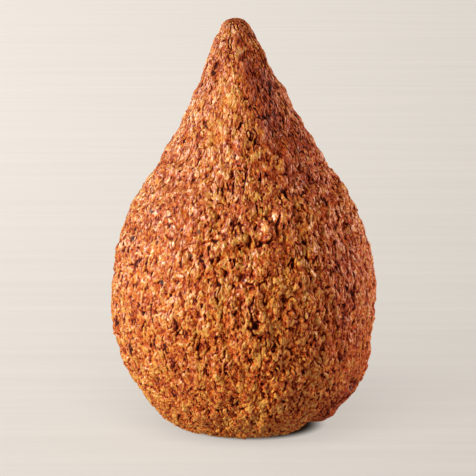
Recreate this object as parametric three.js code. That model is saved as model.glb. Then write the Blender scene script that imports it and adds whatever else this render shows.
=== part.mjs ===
// A kibbeh coxinha: a drop of bulgur and meat dough, rolled by hand to a point, rough all over and deep-fried brown.
// It is one solid piece that stands on a small flat spot. Millimetres, +Z up, the front faces -Y.
// The origin is the centre of the flat spot.
import * as THREE from "three";
import { mergeVertices } from "three/addons/utils/BufferGeometryUtils.js";

// Driving sizes of the drop's outline
const HEIGHT = 85;
const REST_RADIUS = 8.2; // the flat spot it stands on
const HEEL_RISE_DEG = 13; // how steeply the underside leaves the flat spot
const BELLY_RADIUS = 26.7;
const BELLY_HEIGHT = 28.7;
const SHOULDER_RADIUS = 18.7; // where the belly gives way to the cone
const SHOULDER_HEIGHT = 53;
const SHOULDER_LEAN_DEG = 35; // the side's lean off the vertical there
const TIP_RADIUS = 3.2;
const TIP_LEAN_DEG = 26.5;

// How far each curve of the outline runs on straight before it bends
const HEEL_REACH = 15.7;
const UNDER_BELLY_REACH = 12.2;
const OVER_BELLY_REACH = 11.1;
const SHOULDER_REACH_DOWN = 7.9;
const SHOULDER_REACH_UP = 10.1;
const TIP_REACH = 8.1;

// How the hands left it: the tip leans, the heel bulges, and the sections are not quite round
const TIP_SWAY = [-1.5, -0.7]; // X and Y, at the tip
const SWAY_START_HEIGHT = 46;
const HEEL_SWAY = [0.8, 0.3];
const HEEL_SWAY_HEIGHT = 9;
const HEEL_SWAY_SPREAD = 7;
const SETTLED_HEIGHT = 2.5; // the heel sways fully from here up
const OVAL_SHARE = 0.006;
const THREE_SIDED_SHARE = 0.005;
const RIDGE_RISE = 1.1; // the blunt ridge down the front of the cone
const RIDGE_WIDTH = 5;
const RIDGE_HEIGHT = 60;
const RIDGE_SPREAD = 18;
const RIDGE_AZIMUTH_DEG = 3; // up on the cone
const RIDGE_TURN_DEG = 17; // how far round to the right it has run between these two heights
const RIDGE_TURN_LOW = 47;
const RIDGE_TURN_HIGH = 62;

// The crust: a slow swell, scabs of dough, crags on them and crumbs on those
const SWELL_RISE = 0.2;
const SWELL_WAVES = [
  { length: 23, toward: [1, 0.3, 0.5], start: 0.4 },
  { length: 17, toward: [-0.4, 1, 0.7], start: 2.1 },
  { length: 13, toward: [0.6, -0.8, 0.9], start: 4.4 },
];
const SCABS = { wide: 7.5, tall: 11, rise: 0.4, edge: 6, mean: 0.57, salt: 39 };
const CRAGS = { wide: 3.6, tall: 5.6, rise: 0.6, edge: 2, mean: 0.32, salt: 123 };
const CRUMBS = { wide: 1.9, tall: 3.2, rise: 0.5, edge: 2, mean: 0.32, salt: 211 };
const DEEPEST = -0.4; // the floor between the lumps of a layer, as a share of its rise
const RELIEF_START = 5; // the relief grows to its full height over this length from the flat spot

// The fold low on the right, where the dough was tucked under: points on it as X and Z, seen from the front
const FOLD_LINE = [
  [12.2, 0.8],
  [15.4, 5.3],
  [19.7, 9.2],
  [21.8, 11.0],
];
const FOLD_DEPTH = 1.5;
const FOLD_WIDTH = 1.1;
const LIP_RISE = 0.8;
const LIP_WIDTH = 1.8;
const LIP_TOP = 9; // the lip runs out at this height

// The torn flap and the ridge of flakes across the middle of the front: centre as X and Z, half sizes, rise, lean
const FLAPS = [
  { at: [-2.5, 42.8], along: 4.2, across: 1.5, rise: 0.8, leanDeg: 20 },
  { at: [4.8, 44.9], along: 2.2, across: 1.2, rise: 0.9, leanDeg: 90 },
  { at: [7.4, 47.9], along: 2.8, across: 1.4, rise: 0.8, leanDeg: 75 },
  { at: [4.8, 39.5], along: 3.2, across: 2.9, rise: 0.6, leanDeg: 10 },
  { at: [7.9, 56.4], along: 3.2, across: 1.2, rise: 0.6, leanDeg: 98 },
];

const SPLITS = 22; // each edge of the icosahedron is cut into one more than this
const AREA_STEPS = 600; // steps along the outline when its area is added up
const MERGE_WITHIN = 1e-5;
const CRUST_BROWN = 0xb0622c;

const radians = THREE.MathUtils.degToRad;
const smoothstep = THREE.MathUtils.smoothstep;

// The outline as a path of radius against height, from the axis at the flat spot to the axis at the tip.
function dropOutline() {
  const heel = radians(HEEL_RISE_DEG);
  const shoulderLean = radians(SHOULDER_LEAN_DEG);
  const tipLean = radians(TIP_LEAN_DEG);
  const rest = new THREE.Vector2(REST_RADIUS, 0);
  const belly = new THREE.Vector2(BELLY_RADIUS, BELLY_HEIGHT);
  const shoulder = new THREE.Vector2(SHOULDER_RADIUS, SHOULDER_HEIGHT);
  const tipCentre = HEIGHT - TIP_RADIUS;
  const tipStart = new THREE.Vector2(
    TIP_RADIUS * Math.cos(tipLean),
    tipCentre + TIP_RADIUS * Math.sin(tipLean),
  );
  const from = (point, x, y, reach) =>
    new THREE.Vector2(point.x + x * reach, point.y + y * reach);

  const path = new THREE.CurvePath();
  path.add(new THREE.LineCurve(new THREE.Vector2(0, 0), rest));
  path.add(
    new THREE.CubicBezierCurve(
      rest,
      from(rest, Math.cos(heel), Math.sin(heel), HEEL_REACH),
      from(belly, 0, -1, UNDER_BELLY_REACH),
      belly,
    ),
  );
  path.add(
    new THREE.CubicBezierCurve(
      belly,
      from(belly, 0, 1, OVER_BELLY_REACH),
      from(shoulder, Math.sin(shoulderLean), -Math.cos(shoulderLean), SHOULDER_REACH_DOWN),
      shoulder,
    ),
  );
  path.add(
    new THREE.CubicBezierCurve(
      shoulder,
      from(shoulder, -Math.sin(shoulderLean), Math.cos(shoulderLean), SHOULDER_REACH_UP),
      from(tipStart, Math.sin(tipLean), -Math.cos(tipLean), TIP_REACH),
      tipStart,
    ),
  );
  path.add(new THREE.EllipseCurve(0, tipCentre, TIP_RADIUS, TIP_RADIUS, tipLean, Math.PI / 2));
  return path;
}

// For each step along the outline, the share of the whole skin that lies below it.
function areaBelow(outline) {
  const points = outline.getSpacedPoints(AREA_STEPS);
  const sums = [0];
  for (let i = 1; i < points.length; i++) {
    const ring = (points[i].x + points[i - 1].x) * points[i].distanceTo(points[i - 1]);
    sums.push(sums[i - 1] + ring);
  }
  const whole = sums[sums.length - 1];
  return sums.map((sum) => sum / whole);
}

// How far along the outline, from 0 to 1, the given share of the skin lies below.
function alongForArea(shares, share) {
  let i = 1;
  while (i < shares.length - 1 && shares[i] < share) i++;
  const step = (share - shares[i - 1]) / (shares[i] - shares[i - 1]);
  return THREE.MathUtils.clamp((i - 1 + step) / (shares.length - 1), 0, 1);
}

// A random number from 0 to 1 that is always the same for the same lattice cell and salt.
function scatter(x, y, z, salt) {
  let h = Math.imul(x, 374761393) ^ Math.imul(y, 668265263) ^ Math.imul(z, 1440662683) ^ Math.imul(salt, 1013904223);
  h = Math.imul(h ^ (h >>> 15), 2246822519);
  h = Math.imul(h ^ (h >>> 13), 3266489917);
  h ^= h >>> 16;
  return (h >>> 0) / 4294967296;
}

// Height of a layer of lumps at a point: the upper envelope of one flat-topped dome for each cell of a lattice.
// Each dome has its own peak and its own place in the cell. The layer's mean height is taken away.
function lumpsAt(point, { wide, tall, rise, edge, mean, salt }) {
  const x = point.x / wide;
  const y = point.y / wide;
  const z = point.z / tall;
  let top = -1;
  for (let i = -1; i <= 1; i++)
    for (let j = -1; j <= 1; j++)
      for (let k = -1; k <= 1; k++) {
        const cx = Math.floor(x) + i;
        const cy = Math.floor(y) + j;
        const cz = Math.floor(z) + k;
        const apart = Math.hypot(
          cx + scatter(cx, cy, cz, salt) - x,
          cy + scatter(cx, cy, cz, salt + 1) - y,
          cz + scatter(cx, cy, cz, salt + 2) - z,
        );
        top = Math.max(top, scatter(cx, cy, cz, salt + 3) - apart ** edge);
      }
  return rise * (Math.max(top, DEEPEST) - mean);
}

// The slow swell of the whole skin: a sum of plane waves.
function swellAt(point) {
  let sum = 0;
  for (const { length, toward, start } of SWELL_WAVES) {
    const direction = new THREE.Vector3(...toward).normalize();
    sum += Math.sin((2 * Math.PI * point.dot(direction)) / length + start);
  }
  return (SWELL_RISE * sum) / SWELL_WAVES.length;
}

// The fold on the front: a groove along the fold line with a lip on its outer side.
function foldAt(point) {
  if (point.y > 0) return 0;
  const here = new THREE.Vector2(point.x, point.z);
  let nearest = Infinity;
  let side = 1;
  for (let i = 1; i < FOLD_LINE.length; i++) {
    const start = new THREE.Vector2(...FOLD_LINE[i - 1]);
    const run = new THREE.Vector2(...FOLD_LINE[i]).sub(start);
    const offset = here.clone().sub(start);
    const share = THREE.MathUtils.clamp(offset.dot(run) / run.lengthSq(), 0, 1);
    const apart = offset.clone().sub(run.clone().multiplyScalar(share));
    if (apart.length() < nearest) {
      nearest = apart.length();
      side = Math.sign(offset.x * run.y - offset.y * run.x) || 1;
    }
  }
  const groove = -FOLD_DEPTH * Math.exp(-((nearest / FOLD_WIDTH) ** 2));
  const fromLip = side * nearest - LIP_WIDTH;
  const lip = LIP_RISE * (1 - smoothstep(point.z, 0, LIP_TOP));
  return groove + lip * Math.exp(-((fromLip / LIP_WIDTH) ** 2));
}

// The flaps of torn dough on the front: each a smooth oval rise, longer one way.
function flapsAt(point) {
  if (point.y > 0) return 0;
  let rise = 0;
  for (const flap of FLAPS) {
    const lean = radians(flap.leanDeg);
    const dx = point.x - flap.at[0];
    const dz = point.z - flap.at[1];
    const u = (dx * Math.cos(lean) + dz * Math.sin(lean)) / flap.along;
    const v = (dz * Math.cos(lean) - dx * Math.sin(lean)) / flap.across;
    rise = Math.max(rise, flap.rise * Math.exp(-((u * u + v * v) ** 2)));
  }
  return rise;
}

// The blunt ridge down the front of the cone, where the two palms met. Lower down it runs round to the right.
function ridgeAt(point, azimuth) {
  const turned = 1 - smoothstep(point.z, RIDGE_TURN_LOW, RIDGE_TURN_HIGH);
  const line = radians(RIDGE_AZIMUTH_DEG + RIDGE_TURN_DEG * turned);
  const roundFrom = ((azimuth - line) * Math.hypot(point.x, point.y)) / RIDGE_WIDTH;
  const up = (point.z - RIDGE_HEIGHT) / RIDGE_SPREAD;
  return RIDGE_RISE * Math.exp(-(roundFrom * roundFrom) - up * up);
}

// How far the middle of the section at a height stands off the axis.
function swayAt(height) {
  const lean = Math.max(0, (height - SWAY_START_HEIGHT) / (HEIGHT - SWAY_START_HEIGHT)) ** 1.5;
  const bulge = Math.exp(-(((height - HEEL_SWAY_HEIGHT) / HEEL_SWAY_SPREAD) ** 2));
  const settled = smoothstep(height, 0, SETTLED_HEIGHT); // the flat spot itself stays put
  return [0, 1].map((i) => TIP_SWAY[i] * lean + HEEL_SWAY[i] * bulge * settled);
}

// Moves each point of a unit ball onto the drop, so that the faces keep about one size all over.
function shapeDrop(ball) {
  const outline = dropOutline();
  const shares = areaBelow(outline);
  const length = outline.getLength();
  const points = ball.getAttribute("position");
  for (let i = 0; i < points.count; i++) {
    const onBall = new THREE.Vector3().fromBufferAttribute(points, i).normalize();
    const along = alongForArea(shares, (1 + onBall.z) / 2);
    const { x: radius, y: height } = outline.getPointAt(along);
    const azimuth = Math.atan2(onBall.x, -onBall.y); // 0 at the front, growing towards +X
    const outward = new THREE.Vector3(Math.sin(azimuth), -Math.cos(azimuth), 0);

    const unevenness =
      1 + OVAL_SHARE * Math.cos(2 * azimuth + 1) + THREE_SIDED_SHARE * Math.cos(3 * azimuth + 2.5);
    const offAxis = radius * unevenness;
    const [swayX, swayY] = swayAt(height);
    const smooth = outward.clone().multiplyScalar(offAxis).add(new THREE.Vector3(swayX, swayY, height));

    // Relief grows from nothing at the rim of the flat spot, which stays flat.
    const fromRim = along * length - REST_RADIUS;
    const grown = smoothstep(fromRim, 0, RELIEF_START);
    if (fromRim <= 0) {
      points.setXYZ(i, smooth.x, smooth.y, 0);
      continue;
    }
    const tangent = outline.getTangentAt(along);
    const normal = outward.clone().multiplyScalar(tangent.y).add(new THREE.Vector3(0, 0, -tangent.x));
    const relief =
      swellAt(smooth) +
      ridgeAt(smooth, azimuth) +
      flapsAt(smooth) +
      foldAt(smooth) +
      [SCABS, CRAGS, CRUMBS].reduce((sum, layer) => sum + lumpsAt(smooth, layer), 0);
    const placed = smooth.add(normal.multiplyScalar(relief * grown));
    points.setXYZ(i, placed.x, placed.y, Math.max(placed.z, 0));
  }
}

function makeCoxinha() {
  const ball = new THREE.IcosahedronGeometry(1, SPLITS);
  ball.deleteAttribute("normal");
  ball.deleteAttribute("uv");
  const skin = mergeVertices(ball, MERGE_WITHIN);
  shapeDrop(skin);
  skin.computeVertexNormals();
  const crust = new THREE.MeshStandardMaterial({ color: CRUST_BROWN, roughness: 0.55, metalness: 0 });
  const coxinha = new THREE.Mesh(skin, crust);
  coxinha.name = "kibbeh_coxinha";
  return coxinha;
}

const group = new THREE.Group();
group.add(makeCoxinha());
export default group;
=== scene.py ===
import bpy
import numpy as np
from mathutils import Matrix, Vector


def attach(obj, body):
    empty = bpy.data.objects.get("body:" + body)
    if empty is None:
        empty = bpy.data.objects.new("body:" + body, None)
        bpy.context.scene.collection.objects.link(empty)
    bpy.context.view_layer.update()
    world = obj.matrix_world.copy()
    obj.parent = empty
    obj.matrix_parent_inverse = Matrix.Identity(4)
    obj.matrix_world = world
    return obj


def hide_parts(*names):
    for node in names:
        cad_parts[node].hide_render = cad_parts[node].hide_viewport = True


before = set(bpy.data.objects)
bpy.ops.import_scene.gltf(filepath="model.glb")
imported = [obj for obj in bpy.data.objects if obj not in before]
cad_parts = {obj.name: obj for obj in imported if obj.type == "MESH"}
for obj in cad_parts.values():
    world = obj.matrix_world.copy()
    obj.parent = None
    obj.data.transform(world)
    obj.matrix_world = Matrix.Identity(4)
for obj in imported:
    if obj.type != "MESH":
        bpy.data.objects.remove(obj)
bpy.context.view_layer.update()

# The drop of dough
# Bulgur and minced meat are kneaded to a paste and rolled by hand to a point, so the sections are not quite
# round and the tip leans. It stands on a small flat spot. Every size in this file is in millimetres.
HEIGHT = 85
REST_RADIUS = 8.2
HEEL_RISE = np.radians(13)
BELLY_RADIUS = 26.7
BELLY_HEIGHT = 28.7
SHOULDER_RADIUS = 18.7
SHOULDER_HEIGHT = 53
SHOULDER_LEAN = np.radians(35)
TIP_RADIUS = 3.2
TIP_LEAN = np.radians(26.5)
HEEL_REACH = 15.7
UNDER_BELLY_REACH = 12.2
OVER_BELLY_REACH = 11.1
SHOULDER_REACH_DOWN = 7.9
SHOULDER_REACH_UP = 10.1
TIP_REACH = 8.1
CURVE_STEPS = 300

TIP_SWAY = np.array([-1.5, -0.7])
SWAY_START_HEIGHT = 46
SWAY_POWER = 1.5
HEEL_SWAY = np.array([0.8, 0.3])
HEEL_SWAY_HEIGHT = 9
HEEL_SWAY_SPREAD = 7
SETTLED_HEIGHT = 2.5
OVAL_SHARE = 0.006
THREE_SIDED_SHARE = 0.005


def smoothstep(value, low, high):
    """0 below low, 1 above high, and 3 t squared less 2 t cubed between them."""
    t = np.clip((value - low) / (high - low), 0, 1)
    return t * t * (3 - 2 * t)


def bezier(*points):
    """Points on a cubic curve: the four given points weighed by the cubic's binomial terms."""
    t = np.linspace(0, 1, CURVE_STEPS)[:, None]
    a, b, c, d = (np.array(point, float) for point in points)
    return (1 - t) ** 3 * a + 3 * (1 - t) ** 2 * t * b + 3 * (1 - t) * t**2 * c + t**3 * d


def drop_outline():
    """Radius and height from the flat spot's middle to the tip: a line, three curves and an arc."""
    rest = np.array([REST_RADIUS, 0])
    belly = np.array([BELLY_RADIUS, BELLY_HEIGHT])
    shoulder = np.array([SHOULDER_RADIUS, SHOULDER_HEIGHT])
    tip_centre = np.array([0, HEIGHT - TIP_RADIUS])
    tip_start = tip_centre + TIP_RADIUS * np.array([np.cos(TIP_LEAN), np.sin(TIP_LEAN)])
    off_heel = np.array([np.cos(HEEL_RISE), np.sin(HEEL_RISE)])
    up_shoulder = np.array([-np.sin(SHOULDER_LEAN), np.cos(SHOULDER_LEAN)])
    up_tip = np.array([-np.sin(TIP_LEAN), np.cos(TIP_LEAN)])
    up = np.array([0, 1])
    turn = np.linspace(TIP_LEAN, np.pi / 2, CURVE_STEPS)[:, None]
    stretches = [
        np.linspace([0, 0], rest, CURVE_STEPS),
        bezier(rest, rest + off_heel * HEEL_REACH, belly - up * UNDER_BELLY_REACH, belly),
        bezier(belly, belly + up * OVER_BELLY_REACH, shoulder - up_shoulder * SHOULDER_REACH_DOWN, shoulder),
        bezier(
            shoulder,
            shoulder + up_shoulder * SHOULDER_REACH_UP,
            tip_start - up_tip * TIP_REACH,
            tip_start,
        ),
        tip_centre + TIP_RADIUS * np.hstack([np.cos(turn), np.sin(turn)]),
    ]
    points = np.vstack([stretches[0]] + [stretch[1:] for stretch in stretches[1:]])
    return points[:, 0], points[:, 1]


outline_radius, outline_height = drop_outline()
outline_steps = np.hypot(np.diff(outline_radius), np.diff(outline_height))
outline_along = np.concatenate([[0], np.cumsum(outline_steps)])
OUTLINE_LENGTH = outline_along[-1]


def smooth_skin(azimuth, along):
    """Point and outward normal of the bare drop, by azimuth from its front and length along its outline.

    The outline's radius is made slightly oval and three-sided. Each section is then moved sideways, near the
    tip by a power of its height and at the heel by a bell curve. The normal is the outline's slope, turned.
    """
    radius = np.interp(along, outline_along, outline_radius)
    height = np.interp(along, outline_along, outline_height)
    reach = 0.05
    before, after = along - reach, along + reach
    rise = np.interp(after, outline_along, outline_height) - np.interp(before, outline_along, outline_height)
    run = np.interp(after, outline_along, outline_radius) - np.interp(before, outline_along, outline_radius)
    slope = np.hypot(rise, run)
    oval = OVAL_SHARE * np.cos(2 * azimuth + 1)
    three_sided = THREE_SIDED_SHARE * np.cos(3 * azimuth + 2.5)
    off_axis = radius * (1 + oval + three_sided)
    lean = np.clip((height - SWAY_START_HEIGHT) / (HEIGHT - SWAY_START_HEIGHT), 0, None) ** SWAY_POWER
    bulge = np.exp(-(((height - HEEL_SWAY_HEIGHT) / HEEL_SWAY_SPREAD) ** 2))
    bulge = bulge * smoothstep(height, 0, SETTLED_HEIGHT)
    x = off_axis * np.sin(azimuth) + TIP_SWAY[0] * lean + HEEL_SWAY[0] * bulge
    y = -off_axis * np.cos(azimuth) + TIP_SWAY[1] * lean + HEEL_SWAY[1] * bulge
    outward = rise / slope
    normal = np.stack([np.sin(azimuth) * outward, -np.cos(azimuth) * outward, -run / slope], -1)
    return np.stack([x, y, height], -1), normal


# The relief of the crust
# Frying sets every lump that the hands left: a slow swell, scabs, crags and crumbs of dough, a blunt ridge
# down the front of the cone, torn flaps across the middle, and low on the right a tucked fold.
SWELL_RISE = 0.2
SWELL_WAVES = [
    (23, (1, 0.3, 0.5), 0.4),
    (17, (-0.4, 1, 0.7), 2.1),
    (13, (0.6, -0.8, 0.9), 4.4),
]
SCABS = dict(wide=7.5, tall=11, rise=0.4, edge=6, mean=0.57, salt=39)
CRAGS = dict(wide=3.6, tall=5.6, rise=0.6, edge=2, mean=0.32, salt=123)
CRUMBS = dict(wide=1.9, tall=3.2, rise=0.5, edge=2, mean=0.32, salt=211)
DEEPEST = -0.4
RELIEF_START = 5
TIP_CALM = 0.8
TIP_CALM_LENGTH = 6
RIDGE_RISE = 1.1
RIDGE_WIDTH = 5
RIDGE_HEIGHT = 60
RIDGE_SPREAD = 18
RIDGE_AZIMUTH = np.radians(3)
RIDGE_TURN = np.radians(17)
RIDGE_TURN_LOW = 47
RIDGE_TURN_HIGH = 62
FOLD_LINE = np.array([[12.2, 0.8], [15.4, 5.3], [19.7, 9.2], [21.8, 11.0]])
FOLD_DEPTH = 1.5
FOLD_WIDTH = 1.1
LIP_RISE = 0.8
LIP_WIDTH = 1.8
LIP_TOP = 9
FLAPS = [
    dict(at=(-2.5, 42.8), along=4.2, across=1.5, rise=0.8, lean=np.radians(20)),
    dict(at=(4.8, 44.9), along=2.2, across=1.2, rise=0.9, lean=np.radians(90)),
    dict(at=(7.4, 47.9), along=2.8, across=1.4, rise=0.8, lean=np.radians(75)),
    dict(at=(4.8, 39.5), along=3.2, across=2.9, rise=0.6, lean=np.radians(10)),
    dict(at=(7.9, 56.4), along=3.2, across=1.2, rise=0.6, lean=np.radians(98)),
]


def scatter(x, y, z, salt):
    """A number from 0 to 1 for each lattice cell, from its whole coordinates and the salt, multiplied and
    folded twice."""
    x, y, z = (axis.astype(np.int64).astype(np.uint32) for axis in (x, y, z))
    salted = np.uint32(salt * 1013904223 & 0xFFFFFFFF)
    h = x * np.uint32(374761393) ^ y * np.uint32(668265263) ^ z * np.uint32(1440662683) ^ salted
    h = (h ^ h >> np.uint32(15)) * np.uint32(2246822519)
    h = (h ^ h >> np.uint32(13)) * np.uint32(3266489917)
    return (h ^ h >> np.uint32(16)) / 2**32


def lumps(points, wide, tall, rise, edge, mean, salt):
    """The upper envelope of one dome for each cell of a lattice. A dome is its own peak less a power of the
    distance to its centre."""
    place = points / np.array([wide, wide, tall])
    corner = np.floor(place)
    top = np.full(points.shape[:-1], -1.0)
    for shift in np.ndindex(3, 3, 3):
        cell = corner + np.array(shift) - 1
        x, y, z = np.moveaxis(cell, -1, 0)
        jitter = np.stack([scatter(x, y, z, salt + axis) for axis in range(3)], -1)
        apart = np.linalg.norm(cell + jitter - place, axis=-1)
        top = np.maximum(top, scatter(x, y, z, salt + 3) - apart**edge)
    return rise * (np.maximum(top, DEEPEST) - mean)


def swell(points):
    """A sum of plane waves, each a sine of the distance along its own direction."""
    total = 0
    for length, toward, start in SWELL_WAVES:
        direction = np.array(toward) / np.linalg.norm(toward)
        total = total + np.sin(2 * np.pi * (points @ direction) / length + start)
    return SWELL_RISE * total / len(SWELL_WAVES)


def ridge(points, azimuth):
    """A bell curve of the way round from the ridge's line and of the height. The line turns to the right
    lower down."""
    height = points[..., 2]
    line = RIDGE_AZIMUTH + RIDGE_TURN * (1 - smoothstep(height, RIDGE_TURN_LOW, RIDGE_TURN_HIGH))
    round_from = (azimuth - line) * np.hypot(points[..., 0], points[..., 1]) / RIDGE_WIDTH
    up = (height - RIDGE_HEIGHT) / RIDGE_SPREAD
    return RIDGE_RISE * np.exp(-(round_from**2) - up**2)


def fold(points):
    """A groove that falls off as a bell curve from a bent line on the front, with a lip outside it."""
    here = points[..., [0, 2]]
    nearest = np.full(points.shape[:-1], np.inf)
    side = np.ones(points.shape[:-1])
    for start, end in zip(FOLD_LINE[:-1], FOLD_LINE[1:]):
        run = end - start
        offset = here - start
        share = np.clip(offset @ run / (run @ run), 0, 1)
        apart = np.linalg.norm(offset - share[..., None] * run, axis=-1)
        outside = np.where(offset[..., 0] * run[1] - offset[..., 1] * run[0] < 0, -1, 1)
        side = np.where(apart < nearest, outside, side)
        nearest = np.minimum(apart, nearest)
    groove = -FOLD_DEPTH * np.exp(-((nearest / FOLD_WIDTH) ** 2))
    lip = LIP_RISE * (1 - smoothstep(points[..., 2], 0, LIP_TOP))
    lip = lip * np.exp(-(((side * nearest - LIP_WIDTH) / LIP_WIDTH) ** 2))
    return np.where(points[..., 1] > 0, 0, groove + lip)


def flaps(points):
    """For each flap an oval rise that stays high and then falls off steeply. The highest one counts."""
    rise = np.zeros(points.shape[:-1])
    for flap in FLAPS:
        dx = points[..., 0] - flap["at"][0]
        dz = points[..., 2] - flap["at"][1]
        u = (dx * np.cos(flap["lean"]) + dz * np.sin(flap["lean"])) / flap["along"]
        v = (dz * np.cos(flap["lean"]) - dx * np.sin(flap["lean"])) / flap["across"]
        rise = np.maximum(rise, flap["rise"] * np.exp(-((u * u + v * v) ** 2)))
    return np.where(points[..., 1] > 0, 0, rise)


def calm_tip(along):
    """1 over most of the drop, and falling towards its tip, where the fingers closed it smoothly."""
    return 1 - TIP_CALM * smoothstep(along, OUTLINE_LENGTH - TIP_CALM_LENGTH, OUTLINE_LENGTH)


def crust_skin(azimuth, along):
    """The bare drop moved out along its normal by the sum of its relief, which grows from nothing at the
    flat spot's rim and calms down at the tip."""
    smooth, normal = smooth_skin(azimuth, along)
    relief = swell(smooth) + ridge(smooth, azimuth) + flaps(smooth) + fold(smooth)
    for layer in (SCABS, CRAGS, CRUMBS):
        relief = relief + lumps(smooth, **layer)
    relief = relief * calm_tip(along) * smoothstep(along - REST_RADIUS, 0, RELIEF_START)
    return smooth + normal * relief[..., None], normal


# The crust
# Rolling tears the paste into plates and bits of bulgur and meat, and the hot oil lifts, dries and browns
# them. They overlap like scales, with dark slits between them. The skin is made in closed wedges that meet
# along upright seams, so that each stays under the size at which its mesh would be thinned.
MM = 0.001
WEDGES = 8
COLUMNS = 160
ROWS = 590
REST_ROWS = 5
PATTERN_RADIUS = 24
PATTERN_EVENNESS = 0.7
DRAWN_OUT_LOW = 35
DRAWN_OUT_HIGH = 70
DRAWN_OUT = 0.75
PLATES = dict(wide=2.0, tall=3.2, rim=0.14, lean=0.8, angular=0.5, salt=600)
BITS = dict(wide=0.95, tall=1.5, rim=0.11, lean=1.5, angular=0.6, salt=620)
FLAKES = dict(wide=0.50, tall=0.8, rim=0.14, lean=1.5, angular=0.6, salt=640)
PLATE_RISE = 0.22
BIT_RISE = 0.24
FLAKE_RISE = 0.22
SUNK = 0.42
WAVES = [
    dict(cell=(1.6, 1.6, 2.4), reach=0.8, salt=500),
    dict(cell=(0.5, 0.5, 0.75), reach=0.3, salt=520),
]
SLITS = [
    dict(wide=1.2, tall=3.4, thin=0.07, kept=0.57, salt=700),
    dict(wide=0.7, tall=1.7, thin=0.11, kept=0.54, salt=720),
]
SLIT_FADE = 0.14
SLIT_DEPTH = 0.32
RIM_RISE = 0.06
MORE_SLITS = 0.11
SLITTED_FROM = np.radians([26, 54])
SLITTED_TO = np.radians([120, 160])
FLAKY_BELOW = 28
SMOOTH_ABOVE = 62
PROUD_UNIT = 0.16
PROUD_STEPS = 7
BUMP_DEPTH = 0.19
STREAK = 0.65
MEAT_TINT = (1.03, 0.92, 0.90)
SPECK_COLOUR = (0.085, 0.055, 0.052)
OIL_ROUGHNESS = 0.42
DRY_SHEEN = 0.16
MARK_WAVE = dict(cell=(1.3, 1.3, 1.3), reach=0.7, salt=900)
# Where the palm pressed the crust smoother: its place on the front, to the right and up, and its size, its
# lean in degrees and its tone. Their darker tones, all right of the front, are painted shade, on the side
# turned from the lamps and in the tucked fold.
SMEARS = [
    dict(at=(9.5, 62), along=14, across=5, lean=-65, rise=0, tone=-0.12),
    dict(at=(-14, 42), along=17, across=6, lean=70, rise=0, tone=0.0),
    dict(at=(19, 36), along=16, across=4, lean=-80, rise=0, tone=-0.06),
    dict(at=(25, 24), along=22, across=9, lean=90, rise=0, tone=-0.07),
    dict(at=(19, 6), along=9, across=4, lean=45, rise=0, tone=-0.22),
    dict(at=(2.8, 72), along=11, across=2.6, lean=-72, rise=0, tone=-0.18),
]
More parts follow.
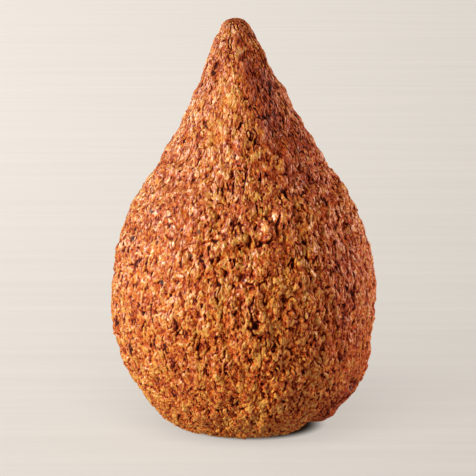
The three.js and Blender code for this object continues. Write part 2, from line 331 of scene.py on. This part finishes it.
# The bits and cracks that catch the eye, placed in the same way, from the tip down. The cracks' dark tone is
# partly burnt paste and partly painted shade.
MARKS = [
    # A broad band left of the cone's ridge, made lighter: painted light on the side that the lamps face.
    dict(at=(-4, 67), along=13, across=3, lean=75, rise=0, tone=0.1),
    dict(at=(-1.3, 78.4), along=1.3, across=1.0, lean=80, rise=0.22, tone=0.15),
    dict(at=(-0.3, 77.6), along=0.8, across=0.6, lean=90, rise=-0.08, tone=-0.3),
    dict(at=(0.1, 79.2), along=0.7, across=0.4, lean=40, rise=0.14, tone=0.3),
    dict(at=(-4.1, 79.5), along=1.1, across=0.8, lean=60, rise=0.11, tone=0.06),
    dict(at=(-1.9, 74.4), along=0.8, across=0.6, lean=0, rise=0.22, tone=-0.09),
    dict(at=(5.3, 71.8), along=1.4, across=1.0, lean=110, rise=-0.08, tone=-0.21),
    dict(at=(-2.3, 70), along=1.8, across=1.2, lean=60, rise=0.14, tone=0.18),
    dict(at=(4.6, 59.9), along=0.7, across=0.6, lean=0, rise=0.22, tone=0.27),
    dict(at=(2.5, 59.2), along=1.1, across=0.8, lean=70, rise=0.19, tone=0.24),
    dict(at=(6.0, 58.8), along=0.6, across=0.5, lean=0, rise=0.19, tone=0.21),
    dict(at=(7.2, 56.9), along=1.5, across=0.8, lean=80, rise=0.19, tone=0.15),
    dict(at=(-3.3, 56.6), along=1.6, across=0.9, lean=10, rise=0.11, tone=0.12),
    dict(at=(8.0, 55.0), along=0.7, across=0.6, lean=0, rise=0.12, tone=-0.06),
    dict(at=(7.6, 53.7), along=0.8, across=0.8, lean=0, rise=0.17, tone=0.15),
    dict(at=(1.3, 49.8), along=1.5, across=1.4, lean=0, rise=0.19, tone=-0.1),
    dict(at=(2.7, 49.6), along=1.2, across=0.3, lean=100, rise=-0.32, tone=-0.38),
    dict(at=(6.0, 48.5), along=0.9, across=0.6, lean=80, rise=0.25, tone=0.07),
    dict(at=(7.9, 48.4), along=1.5, across=0.6, lean=75, rise=0.28, tone=0.18),
    dict(at=(6.9, 47.4), along=1.5, across=0.35, lean=75, rise=-0.56, tone=-0.42),
    dict(at=(4.3, 46.2), along=1.1, across=0.8, lean=80, rise=0.39, tone=0.12),
    dict(at=(2.6, 45.2), along=1.0, across=0.8, lean=30, rise=0.22, tone=-0.09),
    dict(at=(9.5, 44.3), along=1.6, across=0.9, lean=90, rise=0.22, tone=0.04),
    dict(at=(-0.4, 43.9), along=1.2, across=0.8, lean=20, rise=0.28, tone=0.03),
    dict(at=(-2.2, 43.5), along=1.4, across=0.8, lean=60, rise=0.33, tone=0.07),
    dict(at=(-6.2, 43.3), along=1.9, across=0.35, lean=20, rise=-0.48, tone=-0.42),
    dict(at=(1.1, 43.2), along=1.3, across=0.35, lean=90, rise=-0.4, tone=-0.42),
    dict(at=(4.0, 42.9), along=2.3, across=0.35, lean=20, rise=-0.48, tone=-0.42),
    dict(at=(-4.4, 42.4), along=1.5, across=1.0, lean=40, rise=0.33, tone=0.09),
    dict(at=(5.1, 40.4), along=2.0, across=1.6, lean=80, rise=0.28, tone=0.05),
    dict(at=(0.1, 36.6), along=1.5, across=0.7, lean=80, rise=-0.24, tone=-0.3),
    dict(at=(2.8, 33.3), along=0.9, across=0.5, lean=-10, rise=0.17, tone=0.03),
    dict(at=(-7.2, 26.5), along=1.4, across=0.8, lean=60, rise=0.28, tone=0.12),
    dict(at=(2.8, 23.4), along=1.2, across=0.8, lean=0, rise=0.17, tone=0.12),
    dict(at=(2.6, 20.0), along=0.9, across=0.6, lean=70, rise=0.19, tone=0.21),
    dict(at=(0.9, 16.3), along=1.8, across=1.8, lean=0, rise=0, tone=-0.1),
    dict(at=(-4.8, 15.7), along=1.4, across=0.7, lean=110, rise=0.33, tone=0.18),
    dict(at=(4.4, 14.6), along=1.0, across=0.9, lean=0, rise=-0.08, tone=-0.26),
    dict(at=(-0.4, 13.9), along=1.0, across=0.6, lean=30, rise=0.28, tone=0.18),
    dict(at=(3.9, 10.3), along=1.3, across=0.7, lean=30, rise=0.33, tone=0.18),
    dict(at=(6.5, 9.6), along=0.8, across=0.6, lean=60, rise=0.22, tone=0.12),
    dict(at=(1.3, 9.4), along=1.0, across=0.5, lean=80, rise=0.28, tone=0.18),
]
# Dark grains of pepper and bulgur husk.
SPECKS = [(-8.8, 44.9), (-10.4, 40.4), (-22.4, 41.5), (-18.3, 47.6), (-16.2, 34.7)]
SPECK_SIZE = 0.55


def value_noise(points, cell, salt):
    """Random numbers at the corners of a lattice with cells of this size, blended smoothly between them."""
    place = points / np.array(cell)
    corner = np.floor(place)
    part = smoothstep(place - corner, 0, 1)
    total = 0
    for shift in np.ndindex(2, 2, 2):
        weight = np.prod(np.where(shift, part, 1 - part), axis=-1)
        x, y, z = np.moveaxis(corner + np.array(shift), -1, 0)
        total = total + weight * scatter(x, y, z, salt)
    return total


def warped(points, cell, reach, salt):
    """The points moved by one noise along each axis, so that what is worked out from them isn't regular."""
    moves = [value_noise(points, cell, salt + axis) - 0.5 for axis in range(3)]
    return points + reach * np.stack(moves, -1)


def scales(points, wide, tall, rim, lean, angular, salt):
    """Overlapping scales, one for each lattice cell, with its own size, height, lean and tone.

    How far a point is from a scale's centre mixes the plain distance with the largest one of three across
    its own sides, which gives it corners. It reaches 0.45 to 0.95 of a cell and stands 0.35 to 1 high before
    its lean. Its height falls to 0 over the rim, and of the scales at a point the highest counts.
    """
    place = points / np.array([wide, wide, tall])
    corner = np.floor(place)
    height = np.zeros(points.shape[:-1])
    tone = np.full(points.shape[:-1], 0.5)
    for shift in np.ndindex(3, 3, 3):
        cell = corner + np.array(shift) - 1
        x, y, z = np.moveaxis(cell, -1, 0)
        away = place - cell - np.stack([scatter(x, y, z, salt + axis) for axis in range(3)], -1)
        radius = 0.45 + 0.5 * scatter(x, y, z, salt + 3)
        slope = np.stack([scatter(x, y, z, salt + 5 + axis) for axis in range(3)], -1) - 0.5
        facing = slope / np.maximum(np.linalg.norm(slope, axis=-1, keepdims=True), 0.05)
        sides = [np.abs(np.sum(away * np.roll(facing, turn, axis=-1), axis=-1)) for turn in range(3)]
        apart = (1 - angular) * np.linalg.norm(away, axis=-1) + angular * 1.15 * np.max(sides, axis=0)
        inside = smoothstep(radius - apart, 0, rim)
        own = inside * (0.35 + 0.65 * scatter(x, y, z, salt + 4) + lean * np.sum(away * slope, axis=-1))
        higher = own > height
        height = np.where(higher, own, height)
        tone = np.where(higher, scatter(x, y, z, salt + 9), tone)
    return height, tone - 0.5


def slits(points, more, wide, tall, thin, kept, salt):
    """The lines where a noise crosses its middle, kept where a second noise is high, and their rims.

    Both are 1 in their middle and 0 outside. A slit is full to a fifth of its half width, and its rim lies
    1.7 half widths to one side. More of them are kept where more is over 0.
    """
    line = value_noise(points, (wide, wide, tall), salt) - 0.5
    chance = more + value_noise(points, (wide * 0.8, wide * 0.8, tall * 0.8), salt + 7)
    share = smoothstep(chance, kept, kept + SLIT_FADE)
    slit = 1 - smoothstep(np.abs(line), 0.2 * thin, thin)
    rim = 1 - smoothstep(np.abs(line - 1.7 * thin), 0.2 * thin, 0.9 * thin)
    return slit * share, rim * share


drawn_out = 1 - (1 - DRAWN_OUT) * smoothstep(outline_height[1:], DRAWN_OUT_LOW, DRAWN_OUT_HIGH)
pattern_along = np.concatenate([[0], np.cumsum(outline_steps * drawn_out)])


def pattern_place(azimuth, along):
    """Where the crust's pattern is read: its radius is a power of the drop's own, so it changes less, and its
    length grows less towards the tip. So the pattern follows the upright lines and is drawn out up there."""
    radius = np.interp(along, outline_along, outline_radius)
    reach = PATTERN_RADIUS * np.maximum(radius / PATTERN_RADIUS, 0.02) ** PATTERN_EVENNESS
    run = np.interp(along, outline_along, pattern_along)
    return np.stack([reach * np.sin(azimuth), -reach * np.cos(azimuth), run], -1)


def marked(points, marks):
    """The sums of the rise and of the tone of bent ovals on the front, which are full in the middle and then
    fall off steeply, and how far inside one a point is."""
    bent = warped(points, **MARK_WAVE)
    rise, tone, inside = (np.zeros(points.shape[:-1]) for _ in range(3))
    for mark in marks:
        lean = np.radians(mark["lean"])
        dx = bent[..., 0] - mark["at"][0]
        dz = bent[..., 2] - mark["at"][1]
        u = (dx * np.cos(lean) + dz * np.sin(lean)) / mark["along"]
        v = (dz * np.cos(lean) - dx * np.sin(lean)) / mark["across"]
        here = np.exp(-((u * u + v * v) ** 2)) * (points[..., 1] < 0)
        rise = rise + mark["rise"] * here
        tone = tone + mark["tone"] * here
        inside = np.maximum(inside, here)
    return rise, tone, inside


def matted(points, low, more, smeared, shown):
    """The relief of scales and slits in millimetres, and the values that colour them, each from 0 to 1.

    The relief is the sum of three sizes of scales, less the slits, plus their rims. The smaller scales stand
    higher low on the drop. A smear or a placed mark makes all of it calmer.
    """
    wavy = points
    for wave in WAVES:
        wavy = warped(wavy, **wave)
    plate, plate_tone = scales(wavy, **PLATES)
    bit, bit_tone = scales(wavy, **BITS)
    flake, flake_tone = scales(wavy, **FLAKES)
    slit, rim = np.zeros(low.shape), np.zeros(low.shape)
    for kind in SLITS:
        one_slit, one_rim = slits(wavy, more, **kind)
        slit = np.maximum(slit, one_slit)
        rim = np.maximum(rim, one_rim)
    slit = slit * (1 - 0.7 * shown) * (1 - 0.25 * smeared)
    rim = rim * (1 - slit)
    relief = PLATE_RISE * plate + (0.7 + 0.6 * low) * (BIT_RISE * bit + FLAKE_RISE * flake) - SUNK
    relief = relief - SLIT_DEPTH * slit + RIM_RISE * rim
    relief = relief * (1 - 0.3 * smeared) * (1 - 0.3 * shown)
    tone = 0.5 + (0.3 * plate_tone + 0.35 * bit_tone + 0.35 * flake_tone) * (1 - 0.3 * smeared)
    return relief, dict(slit=slit, rim=rim, tone=tone)


def running_mean(field, reach):
    """The mean of each value and its neighbours up to this many steps away, first down and then across."""
    for axis in range(2):
        edges = [(reach + 1, reach) if axis == side else (0, 0) for side in range(2)]
        total = np.cumsum(np.pad(field, edges, mode="edge"), axis=axis)
        count = 2 * reach + 1
        after = np.take(total, np.arange(count, total.shape[axis]), axis=axis)
        before = np.take(total, np.arange(total.shape[axis] - count), axis=axis)
        field = (after - before) / count
    return field


class Wire:
    """A value in a shader. The operators add Math nodes, and add() adds any other node."""

    def __init__(self, tree, socket):
        self.tree = tree
        self.socket = socket

    def add(self, kind, settings, values, output=0):
        """A node of this kind: its settings are made first, then its inputs are set or joined to wires."""
        node = self.tree.nodes.new(kind)
        for name, value in settings.items():
            if name == "stops":
                ramp = node.color_ramp
                while len(ramp.elements) < len(value):
                    ramp.elements.new(1)
                for element, (position, colour) in zip(ramp.elements, value):
                    element.position = position
                    element.color = (*colour, 1)
            else:
                setattr(node, name, value)
        for name, value in values.items():
            if isinstance(value, Wire):
                self.tree.links.new(value.socket, node.inputs[name])
            else:
                node.inputs[name].default_value = value
        return Wire(self.tree, node.outputs[output])

    def maths(self, operation, *values):
        return self.add("ShaderNodeMath", {"operation": operation}, dict(enumerate(values)))

    def __add__(self, other):
        return self.maths("ADD", self, other)

    __radd__ = __add__

    def __sub__(self, other):
        return self.maths("SUBTRACT", self, other)

    def __rsub__(self, other):
        return self.maths("SUBTRACT", other, self)

    def __mul__(self, other):
        return self.maths("MULTIPLY", self, other)

    __rmul__ = __mul__

    def within(self, low, high):
        """0 at low and under, 1 at high and over."""
        values = {"Value": self, "From Min": low, "From Max": high}
        return self.add("ShaderNodeMapRange", {"interpolation_type": "SMOOTHSTEP"}, values)

    def mixed(self, under, over):
        """The colour over laid on the colour under, with this value as its share."""
        settings = {"data_type": "RGBA"}
        values = {0: self, 6: colour_of(under), 7: colour_of(over)}
        return self.add("ShaderNodeMix", settings, values, output=2)


def colour_of(value):
    return value if isinstance(value, Wire) else (*value, 1)


def put_mesh(name, points, triangles, values, spots, smooth):
    """A mesh of these triangles, in metres, with named values on its points and a map of its corners."""
    mesh = bpy.data.meshes.new(name)
    mesh.vertices.add(len(points))
    mesh.vertices.foreach_set("co", (points * MM).astype(np.float32).ravel())
    mesh.loops.add(triangles.size)
    mesh.loops.foreach_set("vertex_index", triangles.astype(np.int32).ravel())
    mesh.polygons.add(len(triangles))
    mesh.polygons.foreach_set("loop_start", np.arange(0, triangles.size, 3, dtype=np.int32))
    mesh.polygons.foreach_set("use_smooth", np.full(len(triangles), smooth))
    for label, value in values.items():
        attribute = mesh.attributes.new(label, "FLOAT", "POINT")
        attribute.data.foreach_set("value", value.astype(np.float32).ravel())
    mesh.uv_layers.new(name="OFBake").uv.foreach_set("vector", spots.astype(np.float32).ravel())
    mesh.update(calc_edges=True)
    mesh.validate()
    piece = bpy.data.objects.new(name, mesh)
    bpy.context.scene.collection.objects.link(piece)
    return piece


def ring_grid_triangles(rows, columns):
    """Two triangles for each cell between neighbouring rings, and a fan to the point that closes each end."""
    ring = np.arange(rows)[:, None] * columns
    column = np.arange(columns)
    here, beside = ring + column, ring + (column + 1) % columns
    a, b, c, d = here[:-1], beside[:-1], beside[1:], here[1:]
    bottom, top = rows * columns, rows * columns + 1
    low = np.stack([np.full(columns, bottom), beside[0], here[0]], -1)
    high = np.stack([np.full(columns, top), here[-1], beside[-1]], -1)
    sides = np.concatenate([np.stack([a, b, c], -1).reshape(-1, 3), np.stack([a, c, d], -1).reshape(-1, 3)])
    return np.concatenate([sides, low, high])


def wedge_spots(triangles, share_up):
    """The map of a wedge: its skin takes most of the width, and its inner walls a narrow strip beside it."""
    ring = COLUMNS + 1
    share_round = np.concatenate([np.linspace(0, 0.96, COLUMNS), [0.98]])
    across = np.concatenate([np.tile(share_round, len(share_up)), [0.48, 0.48]])[triangles]
    up = np.concatenate([np.repeat(share_up, ring), [0, 1]])[triangles]
    on_last_wall = (across.max(axis=1) > 0.97) & (across.min(axis=1) < 0.5)
    across = np.where(on_last_wall[:, None] & (across < 0.5), 1.0, across)
    return np.stack([across, up], -1)


def seam_edges(mesh):
    """True for the edges where the skin meets the inner walls, along its first and its last column."""
    ends = np.empty(2 * len(mesh.edges), np.int32)
    mesh.edges.foreach_get("vertices", ends)
    column = ends.reshape(-1, 2) % (COLUMNS + 1)
    return (column[:, 0] == column[:, 1]) & np.isin(column[:, 0], [0, COLUMNS - 1])


def make_wedge(number):
    """A wedge of the drop: its skin with all the relief, closed by two walls that meet on its centre line.

    What the material reads goes on the points: how proud each one stands of the mean around it, the pattern's
    place, and the masks and tones.
    """
    rest = np.linspace(0, REST_RADIUS, REST_ROWS, endpoint=False)[1:]
    along = np.concatenate([rest, np.linspace(REST_RADIUS, OUTLINE_LENGTH, ROWS, endpoint=False)])
    azimuth = (number - 0.5 + np.linspace(0, 1, COLUMNS)) * 2 * np.pi / WEDGES
    v, u = np.meshgrid(along, (azimuth + np.pi) % (2 * np.pi) - np.pi, indexing="ij")
    points, normal = crust_skin(u, v)
    low = 1 - smoothstep(points[..., 2], FLAKY_BELOW, SMOOTH_ABOVE)
    pattern = pattern_place(u, v)
    _, smear_tone_and_shade, smeared = marked(points, SMEARS)
    mark_rise, mark_tone_light_and_shade, shown = marked(points, MARKS)
    more = MORE_SLITS * smoothstep(u, *SLITTED_FROM) * (1 - smoothstep(u, *SLITTED_TO))
    relief, values = matted(pattern, low, more, smeared, shown * (mark_rise != 0))
    relief = relief + mark_rise
    relief = relief * calm_tip(v) * smoothstep(v - REST_RADIUS, 0, RELIEF_START)
    proud = (relief - running_mean(running_mean(relief, PROUD_STEPS), PROUD_STEPS)) / PROUD_UNIT
    speck = np.zeros(low.shape)
    for x, z in SPECKS:
        apart = np.hypot(points[..., 0] - x, points[..., 2] - z)
        here = 1 - smoothstep(apart, 0.3 * SPECK_SIZE, SPECK_SIZE)
        speck = np.maximum(speck, here * (points[..., 1] < 0))
    points = points + normal * relief[..., None]
    points[..., 2] = np.where(v <= REST_RADIUS, 0, np.maximum(points[..., 2], 0))
    centre = (smooth_skin(0, along)[0] + smooth_skin(np.pi, along)[0]) / 2
    ends = crust_skin(np.zeros(2), np.array([0, OUTLINE_LENGTH]))[0]
    everything = np.concatenate([np.concatenate([points, centre[:, None]], axis=1).reshape(-1, 3), ends])
    values.update(proud=proud, low=low, flank=more / MORE_SLITS, speck=speck, smeared=smeared)
    values.update(shift=smear_tone_and_shade + mark_tone_light_and_shade)
    values.update(round=pattern[..., 0], deep=pattern[..., 1], along=pattern[..., 2])
    for name, value in values.items():
        with_centre = np.pad(value, ((0, 0), (0, 1)), mode="edge")
        values[name] = np.concatenate([with_centre.ravel(), value[[0, -1], 0]])
    triangles = ring_grid_triangles(len(along), COLUMNS + 1)
    spots = wedge_spots(triangles, along / OUTLINE_LENGTH)
    piece = put_mesh("crust_%d" % number, everything, triangles, values, spots, smooth=True)
    sharp = piece.data.attributes.new("sharp_edge", "BOOLEAN", "EDGE")
    sharp.data.foreach_set("value", seam_edges(piece.data))
    return piece


def new_material(name):
    """An empty material, its shader and a wire of the object's own coordinates."""
    material = bpy.data.materials.new(name)
    material.use_nodes = True
    tree = material.node_tree
    shader = tree.nodes["Principled BSDF"]
    place = Wire(tree, tree.nodes.new("ShaderNodeTexCoord").outputs["Object"])
    return material, shader, place


def grain(place, length, detail=2.0, rough=0.5, bend=0.0):
    """Noise from 0 to 1 whose lumps are about this many millimetres long."""
    values = {"Vector": place, "Scale": 1 / (length * MM), "Distortion": bend}
    values.update({"Detail": detail, "Roughness": rough})
    return place.add("ShaderNodeTexNoise", {}, values)


def value_on_points(place, name):
    return place.add("ShaderNodeAttribute", {"attribute_name": name}, {}, output="Fac")


def chips(place, length, reach):
    """Cells about this many millimetres long, bent by a noise of this reach, each with its own value."""
    noise = place.add("ShaderNodeTexNoise", {}, {"Vector": place, "Scale": 1 / (length * MM)}, output="Color")
    values = {0: noise, 1: (reach * MM,) * 3, 2: place}
    bent = place.add("ShaderNodeVectorMath", {"operation": "MULTIPLY_ADD"}, values)
    return place.add("ShaderNodeTexVoronoi", {}, {"Vector": bent, "Scale": 1 / (length * MM)}, output="Color")


def browned(shade):
    """The colours of the fried paste, from burnt through russet and amber to the gold of a torn edge."""
    stops = [
        (0.00, (0.042, 0.0042, 0.0012)),
        (0.18, (0.170, 0.0140, 0.0034)),
        (0.38, (0.344, 0.0390, 0.0082)),
        (0.58, (0.516, 0.0915, 0.0148)),
        (0.78, (0.642, 0.1770, 0.0245)),
        (1.00, (0.700, 0.3100, 0.0530)),
    ]
    return shade.add("ShaderNodeValToRGB", {"stops": stops}, {0: shade})


def fine_marks(streaky, mottle, flank, proud):
    """What is finer than the mesh. A hairline lies where a bent noise crosses its middle, with a pale rim on
    one side. Pinholes and glints are the two ends of a grain's range."""
    bent = grain(streaky, 0.7, 2.0, 0.5, bend=0.8) - 0.5
    kept = (mottle + flank * 0.08).within(-0.06, 0.04)
    hairline = (1 - bent.maths("ABSOLUTE").within(0.006, 0.026)) * kept
    hair_rim = (1 - (bent - 0.042).maths("ABSOLUTE").within(0.004, 0.022)) * kept
    grit = grain(streaky, 0.32, 1.0, 0.5)
    pinhole = (0.37 - grit).within(0, 0.05)
    glint = (grit - 0.63).within(0, 0.05) * proud.within(-0.2, 0.6)
    return hairline, hair_rim, pinhole, glint


def fried_crust():
    """Brown by its own tone and a grain, with redder bits of meat, and with painted shade and light: recesses
    darker and what stands proud lighter, slits and pinholes darker partly as burnt paste and partly as
    painted shade, torn rims paler partly as a painted highlight, and glints painted pale. What stands proud
    is oily, and the rest is dry."""
    material, shader, place = new_material("fried_crust")
    names = ("proud", "slit", "rim", "tone", "speck")
    proud, slit, rim, tone, speck = [value_on_points(place, name) for name in names]
    names = ("shift", "smeared", "low", "flank")
    shift, smeared, low, flank = [value_on_points(place, name) for name in names]
    own = [value_on_points(place, name) for name in ("round", "deep", "along")]
    pattern = place.add("ShaderNodeCombineXYZ", {}, dict(enumerate(own)))
    streaky = place.add("ShaderNodeMapping", {}, {"Vector": pattern, "Scale": (MM, MM, STREAK * MM)})
    patch = grain(place, 7.0, 3.0, 0.6) - 0.5
    mottle = grain(streaky, 0.42, 3.0, 0.75) - 0.5
    fine = grain(streaky, 0.22, 3.0, 0.7)
    chip = chips(streaky, 0.85, 1.0) - 0.5
    crumb = chips(streaky, 0.42, 0.5) - 0.5
    hairline, hair_rim, pinhole, glint = fine_marks(streaky, mottle, flank, proud)
    own_tone = (tone - 0.5) * 0.6 + mottle * 1.1 + chip * 0.4 + crumb * 0.65 + (fine - 0.5) * 0.5
    # Painted light and shade in the colour: low makes the lower part lighter, proud makes the recesses darker
    # and what stands proud lighter, and shift carries the smears' and marks' darker and lighter patches.
    shade = 0.60 + low * 0.045 + shift + proud * 0.15 + patch * 0.35 + own_tone * (1 - smeared * 0.25)
    # The pale rims are the gold of torn edges and partly a painted highlight along them.
    shade = shade + rim * 0.26 + hair_rim * (0.18 + low * 0.12 + flank * 0.12)
    # Slits, hairlines and pinholes are darkened partly as burnt paste and partly as painted shade, and glint
    # adds a painted highlight to the colour.
    shade = shade - slit * 0.5 - hairline * 0.55 - pinhole * 0.35 + glint * 0.35
    dough = browned(shade)
    meat = place.add("ShaderNodeVectorMath", {"operation": "MULTIPLY"}, {0: dough, 1: MEAT_TINT})
    meaty = chips(streaky, 0.65, 0.9).within(0.52, 0.72)
    colour = (speck * 0.8).mixed(meaty.mixed(dough, meat), SPECK_COLOUR)
    wires = place.tree.links
    wires.new(colour.socket, shader.inputs["Base Color"])
    rough = 0.95 - proud.within(-0.8, 0.6) * 0.45 - smeared * 0.08 - glint * 0.2 + (fine - 0.5) * 0.3
    wires.new(rough.socket, shader.inputs["Roughness"])
    height = fine * 1.3 + chip * 0.4 + crumb * 0.5 + glint * 0.3
    height = height + hair_rim * 0.2 - hairline * 0.7 - pinhole * 0.5
    bump = place.add("ShaderNodeBump", {}, {"Strength": 1.0, "Distance": BUMP_DEPTH * MM, "Height": height})
    wires.new(bump.socket, shader.inputs["Normal"])
    dry = (1 - slit) * (1 - hairline)
    oil = dry * proud.within(-0.6, 0.7) * (fine * 0.5 + chip * 0.5 + (tone - 0.5) * 0.8).within(0.07, 0.38)
    wires.new(oil.socket, shader.inputs["Coat Weight"])
    shader.inputs["Coat Roughness"].default_value = OIL_ROUGHNESS
    shader.inputs["Specular IOR Level"].default_value = DRY_SHEEN
    return material


fried = fried_crust()
for number in range(WEDGES):
    wedge = make_wedge(number)
    wedge.data.materials.append(fried)
    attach(wedge, "root")
    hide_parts("kibbeh_coxinha")

# The floor
# A pale warm board, wide enough to fill the view behind the piece. A painted shadow darkens it where the drop
# stands close over it, out to a little past the flat spot.
FLOOR_RADIUS = 4000
FLOOR_RINGS = 12
FLOOR_SPOKES = 64
BOARD_TAKES = ((0.130, 0.124, 0.115), (0.230, 0.219, 0.204))
BOARD_GLOWS = ((0.350, 0.329, 0.302), (0.720, 0.678, 0.624))
SHADE_TAKES = (0.045, 0.034, 0.027)
SHADE_GLOWS = (0.010, 0.006, 0.004)
SHADE_AT = (2, 4)
SHADE_DARK = 11.2
SHADE_OVER = 15.4


def pale_floor():
    """Pale board with faint long streaks, painted lighter to the left and to the back as if lit from there.

    Part of its tone is a glow of its own, as the room's light falls on it evenly, and the rest takes light
    and shade. Both darken under the drop in a painted shadow.
    """
    material, shader, place = new_material("pale_floor")
    long = place.add("ShaderNodeMapping", {}, {"Vector": place, "Scale": (0.06, 1, 1)})
    right, away = (place.add("ShaderNodeSeparateXYZ", {}, {0: place}, output=side) for side in range(2))
    across = right * (2.3 - away.within(0, 1) * 1.1)
    # Painted light: the board is made lighter to the left and to the back. The streaks are the board's own
    # grain.
    light = 0.48 - across + away.within(-0.2, 0.5) * 0.16 + (grain(long, 8.0, 5.0, 0.7) - 0.5) * 0.25
    # A painted shadow: a round dark patch around SHADE_AT, full inside SHADE_DARK and gone past SHADE_OVER.
    from_x = (right - SHADE_AT[0] * MM) * (1 / MM)
    from_y = (away - SHADE_AT[1] * MM) * (1 / MM)
    under = (from_x * from_x + from_y * from_y).within(SHADE_OVER**2, SHADE_DARK**2)
    takes = under.mixed(light.mixed(*BOARD_TAKES), SHADE_TAKES)
    glows = under.mixed(light.mixed(*BOARD_GLOWS), SHADE_GLOWS)
    place.tree.links.new(takes.socket, shader.inputs["Base Color"])
    place.tree.links.new(glows.socket, shader.inputs["Emission Color"])
    shader.inputs["Emission Strength"].default_value = 1.0
    shader.inputs["Roughness"].default_value = 0.7
    shader.inputs["Specular IOR Level"].default_value = 0.0
    return material


ring_reach = np.linspace(0.08, 1, FLOOR_RINGS) ** 2 * FLOOR_RADIUS
spoke_turn = np.arange(FLOOR_SPOKES) * 2 * np.pi / FLOOR_SPOKES
reach, turn = np.meshgrid(ring_reach, spoke_turn, indexing="ij")
floor_points = np.stack([reach * np.cos(turn), reach * np.sin(turn), 0 * turn], -1).reshape(-1, 3)
floor_points = np.concatenate([floor_points, [[0, 0, 0]]])
floor_triangles = ring_grid_triangles(FLOOR_RINGS, FLOOR_SPOKES)
floor_triangles = floor_triangles[(floor_triangles < FLOOR_RINGS * FLOOR_SPOKES + 1).all(axis=1)]
floor_spots = floor_points[floor_triangles, :2] / FLOOR_RADIUS
floor = put_mesh("floor", floor_points, floor_triangles, {}, floor_spots, smooth=False)
floor.data.materials.append(pale_floor())
floor.visible_glossy = False

# The light
# A soft lamp stands low on the left, a large window there gives the oily sheen, and a small lamp grazes the
# right flank from behind. Pale walls fill the rest. The floor has a wide light of its own.
KEY = dict(size=400, power=61, azimuth=-56, elevation=14, distance=2000, colour=(0.88, 1.0, 0.82))
WINDOW = dict(size=1000, power=135, azimuth=-78, elevation=22, distance=2000, colour=(0.96, 1.0, 0.96))
RIM = dict(size=260, power=14, azimuth=103, elevation=13, distance=1200, colour=(1.0, 0.77, 0.62))
SUN_STRENGTH = 4.2
SUN_SPREAD = np.radians(60)
SUN_COLOUR = (1.0, 0.98, 0.96)
SUN_FROM = (-0.25, -0.9, 0.75)
WALL_COLOUR = (1.0, 0.80, 0.66)
WALL_STRENGTH = 0.27


def soft_light(name, size, power, azimuth, elevation, distance, colour, lit):
    """A square lamp that faces the middle of the piece from this side and height, and lights these things."""
    lamp = bpy.data.lights.new(name, "AREA")
    lamp.size = size * MM
    lamp.energy = power
    lamp.color = colour
    holder = bpy.data.objects.new(name, lamp)
    bpy.context.scene.collection.objects.link(holder)
    a, e = np.radians(azimuth), np.radians(elevation)
    away = Vector((np.sin(a) * np.cos(e), -np.cos(a) * np.cos(e), np.sin(e)))
    holder.location = Vector((0, 0, HEIGHT / 2 * MM)) + away * distance * MM
    holder.rotation_euler = away.to_track_quat("Z", "Y").to_euler()
    shine_on(holder, lit)
    return holder


def shine_on(light, lit):
    """Keeps the light to these things, through a collection of what it reaches."""
    receivers = bpy.data.collections.new("lit_by_" + light.name)
    for thing in lit:
        receivers.objects.link(thing)
    light.light_linking.receiver_collection = receivers


food = [thing for thing in bpy.data.objects if thing.type == "MESH" and thing != floor]
soft_light("key", **KEY, lit=food).visible_glossy = False
soft_light("window", **WINDOW, lit=food).visible_diffuse = False
soft_light("rim", **RIM, lit=food)
lamp = bpy.data.lights.new("overhead", "SUN")
lamp.energy = SUN_STRENGTH
lamp.angle = SUN_SPREAD
lamp.color = SUN_COLOUR
overhead = bpy.data.objects.new("overhead", lamp)
bpy.context.scene.collection.objects.link(overhead)
overhead.rotation_euler = Vector(SUN_FROM).to_track_quat("Z", "Y").to_euler()
shine_on(overhead, [floor])
world = bpy.data.worlds.new("room")
world.use_nodes = True
walls = world.node_tree.nodes["Background"]
walls.inputs["Color"].default_value = (*WALL_COLOUR, 1)
walls.inputs["Strength"].default_value = WALL_STRENGTH
bpy.context.scene.world = world
world.cycles_visibility.glossy = False
bpy.context.scene.view_settings.view_transform = "Standard"

# The camera
# It stands well away in front and looks down a little, as in the photo.
CAMERA_ELEVATION = np.radians(10)
CAMERA_DISTANCE = 600
VIEW_WIDTH = 97.2
SENSOR_WIDTH = 36
AIM_LEFT = 1.12
AIM_LOW = 2.57
camera_data = bpy.data.cameras.new("camera")
camera_data.sensor_width = SENSOR_WIDTH
camera_data.lens = SENSOR_WIDTH * CAMERA_DISTANCE / VIEW_WIDTH
camera_data.clip_start = 0.01
camera_data.clip_end = 20
camera = bpy.data.objects.new("camera", camera_data)
bpy.context.scene.collection.objects.link(camera)
back = Vector((0, -np.cos(CAMERA_ELEVATION), np.sin(CAMERA_ELEVATION)))
above = Vector((0, np.sin(CAMERA_ELEVATION), np.cos(CAMERA_ELEVATION)))
aim = Vector((-AIM_LEFT, 0, HEIGHT / 2)) - above * AIM_LOW
turned_back = back.to_track_quat("Z", "Y").to_matrix().to_4x4()
camera.matrix_world = Matrix.Translation((aim + back * CAMERA_DISTANCE) * MM) @ turned_back
bpy.context.scene.camera = camera
